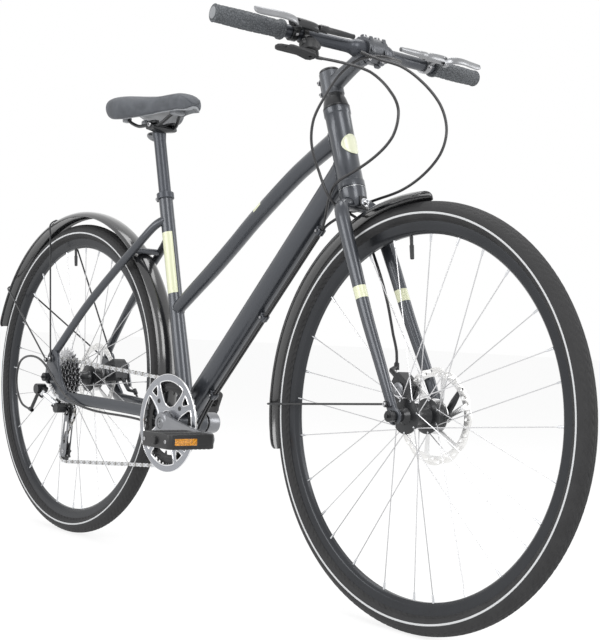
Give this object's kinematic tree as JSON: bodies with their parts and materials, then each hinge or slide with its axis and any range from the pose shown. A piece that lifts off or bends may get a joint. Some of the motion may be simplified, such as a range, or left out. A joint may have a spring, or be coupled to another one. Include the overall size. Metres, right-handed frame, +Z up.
{
  "type": "bicycle",
  "caption": "Step-through city bicycle with mudguards, disc brakes, chain guard, rear derailleur and a wide saddle.",
  "frame": {"origin": "ground level, under the middle of the bicycle", "axes": "+X forward, towards the front wheel; +Y to the rider's left; +Z up"},
  "size_m": [1.7933, 0.618, 0.992],
  "materials": {
    "frame_paint": "satin dark graphite paint with small pale yellow-green accent bands",
    "mudguard_gloss": "gloss black moulding",
    "black_metal": "satin black paint",
    "grey_metal": "satin grey anodising",
    "silver_metal": "satin silver",
    "cable_sheath": "matt black sheath",
    "black_plastic": "matt black",
    "chain_steel": "oiled steel",
    "steel": "bright steel",
    "grip_rubber": "grey textured rubber",
    "tyre_rubber": "matt black with a pale reflective line on each wall",
    "rim_metal": "dark anodised",
    "rotor_steel": "ground steel",
    "crank_alloy": "satin light grey",
    "guard_alloy": "satin silver with bright edges",
    "ring_black": "black coated steel",
    "pedal_plastic": "matt black moulding",
    "shell_plastic": "matt light grey moulding",
    "saddle_fabric": "matt dark grey grained cover"
  },
  "bodies": {
    "frame_body": {"frame": "frame_paint", "bottom_bracket": "steel", "seat_clamp": "black_metal", "rear_fender": "mudguard_gloss", "rear_fender_stay_upper": "black_metal", "rear_fender_stay_lower": "black_metal", "rear_caliper": "black_metal", "rear_brake_cable": "cable_sheath", "shift_cable": "cable_sheath", "rear_axle": "black_metal", "derailleur_mount_knuckle": "black_metal", "chain": "chain_steel"},
    "steering_body": {"fork": "frame_paint", "headset_cover": "black_metal", "stem": "grey_metal", "stem_faceplate": "grey_metal", "handlebar": "black_metal", "right_grip": "grip_rubber", "left_grip": "grip_rubber", "right_lever_body": "black_metal", "left_lever_body": "silver_metal", "shifter_body": "black_plastic", "front_fender": "mudguard_gloss", "front_fender_stay": "black_metal", "front_caliper": "black_metal", "front_brake_cable": "cable_sheath", "front_axle": "black_metal"},
    "front_wheel": {"front_tyre": "tyre_rubber", "front_rim": "rim_metal", "front_hub": "black_metal", "front_rotor": "rotor_steel"},
    "rear_wheel": {"rear_tyre": "tyre_rubber", "rear_rim": "rim_metal", "rear_hub": "black_metal", "rear_rotor": "rotor_steel"},
    "cassette_body": {"cassette": "steel"},
    "crankset": {"crank_spindle": "steel", "right_crank": "crank_alloy", "chain_guard": "guard_alloy", "chainring": "ring_black", "left_crank": "crank_alloy"},
    "right_pedal_body": {"right_pedal": "pedal_plastic"},
    "left_pedal_body": {"left_pedal": "pedal_plastic"},
    "guide_pulley_body": {"guide_pulley": "black_plastic"},
    "tension_pulley_body": {"tension_pulley": "black_plastic"},
    "derailleur_link_body": {"derailleur_link": "silver_metal"},
    "derailleur_knuckle_body": {"derailleur_cage_knuckle": "black_plastic"},
    "derailleur_cage_body": {"derailleur_cage": "grey_metal"},
    "right_brake_lever_body": {"right_brake_lever": "silver_metal"},
    "left_brake_lever_body": {"left_brake_lever": "silver_metal"},
    "shift_lever_body": {"shift_lever": "black_plastic"},
    "release_lever_body": {"release_lever": "black_plastic"},
    "front_caliper_arm_body": {"front_caliper_arm": "grey_metal"},
    "rear_caliper_arm_body": {"rear_caliper_arm": "grey_metal"},
    "front_qr_body": {"front_qr_lever": "black_metal"},
    "rear_qr_body": {"rear_qr_lever": "black_metal"},
    "seat_body": {"seatpost": "black_metal", "saddle_rails": "steel", "saddle_shell": "shell_plastic", "saddle_cover": "saddle_fabric"}
  },
  "joints": [
    {"name": "steering_turn", "type": "hinge", "parent": "frame_body", "child": "steering_body", "pos_m": [0.35651, 0, 0.72203], "axis": [-0.3338, 0, 0.9426], "range_deg": [-60, 60], "deforming": ["rear_brake_cable", "shift_cable", "front_brake_cable"]},
    {"name": "front_wheel_spin", "type": "hinge", "parent": "steering_body", "child": "front_wheel", "pos_m": [0.542, 0, 0.348], "axis": [0, 1, 0], "continuous": true},
    {"name": "rear_wheel_spin", "type": "hinge", "parent": "frame_body", "child": "rear_wheel", "pos_m": [-0.542, 0, 0.348], "axis": [0, 1, 0], "continuous": true},
    {"name": "crank_spin", "type": "hinge", "parent": "frame_body", "child": "crankset", "pos_m": [-0.098, 0, 0.283], "axis": [0, 1, 0], "continuous": true, "deforming": ["chain"]},
    {"name": "cassette_spin", "type": "hinge", "parent": "frame_body", "child": "cassette_body", "pos_m": [-0.542, 0, 0.348], "axis": [0, 1, 0], "continuous": true},
    {"name": "right_pedal_spin", "type": "hinge", "parent": "crankset", "child": "right_pedal_body", "pos_m": [0.07125, 0, 0.267], "axis": [0, 1, 0], "continuous": true},
    {"name": "left_pedal_spin", "type": "hinge", "parent": "crankset", "child": "left_pedal_body", "pos_m": [-0.26725, 0, 0.299], "axis": [0, 1, 0], "continuous": true},
    {"name": "derailleur_link_swing", "type": "hinge", "parent": "frame_body", "child": "derailleur_link_body", "pos_m": [-0.54188, -0.085, 0.3125], "axis": [0.3307, 0.4558, 0.8263], "range_deg": [-27, 27], "deforming": ["chain", "shift_cable"]},
    {"name": "derailleur_knuckle_swing", "type": "hinge", "parent": "derailleur_link_body", "child": "derailleur_knuckle_body", "pos_m": [-0.51312, -0.066, 0.2905], "axis": [0.3307, 0.4558, 0.8263], "range_deg": [-27, 27], "deforming": ["chain"]},
    {"name": "derailleur_cage_swing", "type": "hinge", "parent": "derailleur_knuckle_body", "child": "derailleur_cage_body", "pos_m": [-0.502, -0.05, 0.282], "axis": [0, 1, 0], "range_deg": [-15, 20], "stiffness_Nm_per_rad": 1.5, "deforming": ["chain"]},
    {"name": "guide_pulley_spin", "type": "hinge", "parent": "derailleur_cage_body", "child": "guide_pulley_body", "pos_m": [-0.492, 0, 0.274], "axis": [0, 1, 0], "continuous": true},
    {"name": "tension_pulley_spin", "type": "hinge", "parent": "derailleur_cage_body", "child": "tension_pulley_body", "pos_m": [-0.50028, 0, 0.18579], "axis": [0, 1, 0], "continuous": true},
    {"name": "right_lever_squeeze", "type": "hinge", "parent": "steering_body", "child": "right_brake_lever_body", "pos_m": [0.39526, -0.17267, 0.97226], "axis": [0.3331, -0.0649, -0.9407], "range_deg": [0, 13], "stiffness_Nm_per_rad": 3},
    {"name": "left_lever_squeeze", "type": "hinge", "parent": "steering_body", "child": "left_brake_lever_body", "pos_m": [0.39526, 0.17267, 0.97226], "axis": [-0.3331, -0.0649, 0.9407], "range_deg": [0, 13], "stiffness_Nm_per_rad": 3},
    {"name": "front_caliper_pull", "type": "hinge", "parent": "steering_body", "child": "front_caliper_arm_body", "pos_m": [0.4593, 0.057, 0.3781], "axis": [0, 1, 0], "range_deg": [0, 25], "deforming": ["front_brake_cable"]},
    {"name": "rear_caliper_pull", "type": "hinge", "parent": "frame_body", "child": "rear_caliper_arm_body", "pos_m": [-0.4604, 0.076, 0.381], "axis": [0, -1, 0], "range_deg": [0, 15], "deforming": ["rear_brake_cable"]},
    {"name": "shift_lever_push", "type": "hinge", "parent": "steering_body", "child": "shift_lever_body", "pos_m": [0.38442, -0.13812, 0.94371], "axis": [-0.3331, 0.0649, 0.9407], "range_deg": [0, 25], "stiffness_Nm_per_rad": 0.8},
    {"name": "release_lever_push", "type": "hinge", "parent": "steering_body", "child": "release_lever_body", "pos_m": [0.38442, -0.13812, 0.94371], "axis": [-0.3331, 0.0649, 0.9407], "range_deg": [0, 12], "stiffness_Nm_per_rad": 0.8},
    {"name": "front_quick_release", "type": "hinge", "parent": "steering_body", "child": "front_qr_body", "pos_m": [0.542, 0.0643, 0.348], "axis": [-0.866, 0, 0.5], "range_deg": [0, 150]},
    {"name": "rear_quick_release", "type": "hinge", "parent": "frame_body", "child": "rear_qr_body", "pos_m": [-0.542, 0.0823, 0.348], "axis": [-0.5736, 0, 0.8192], "range_deg": [0, 150]},
    {"name": "seatpost_height", "type": "slide", "parent": "frame_body", "child": "seat_body", "axis": [-0.2588, 0, 0.9659], "range_m": [-0.11, 0.08]}
  ],
  "couplings": [
    {"joint": "cassette_spin", "follows": "crank_spin", "ratio": 2},
    {"joint": "guide_pulley_spin", "follows": "crank_spin", "ratio": -3.8182},
    {"joint": "tension_pulley_spin", "follows": "crank_spin", "ratio": 3.8182},
    {"joint": "derailleur_knuckle_swing", "follows": "derailleur_link_swing", "ratio": -1},
    {"joint": "front_caliper_pull", "follows": "left_lever_squeeze", "ratio": 1.9},
    {"joint": "rear_caliper_pull", "follows": "right_lever_squeeze", "ratio": 1.15}
  ]
}
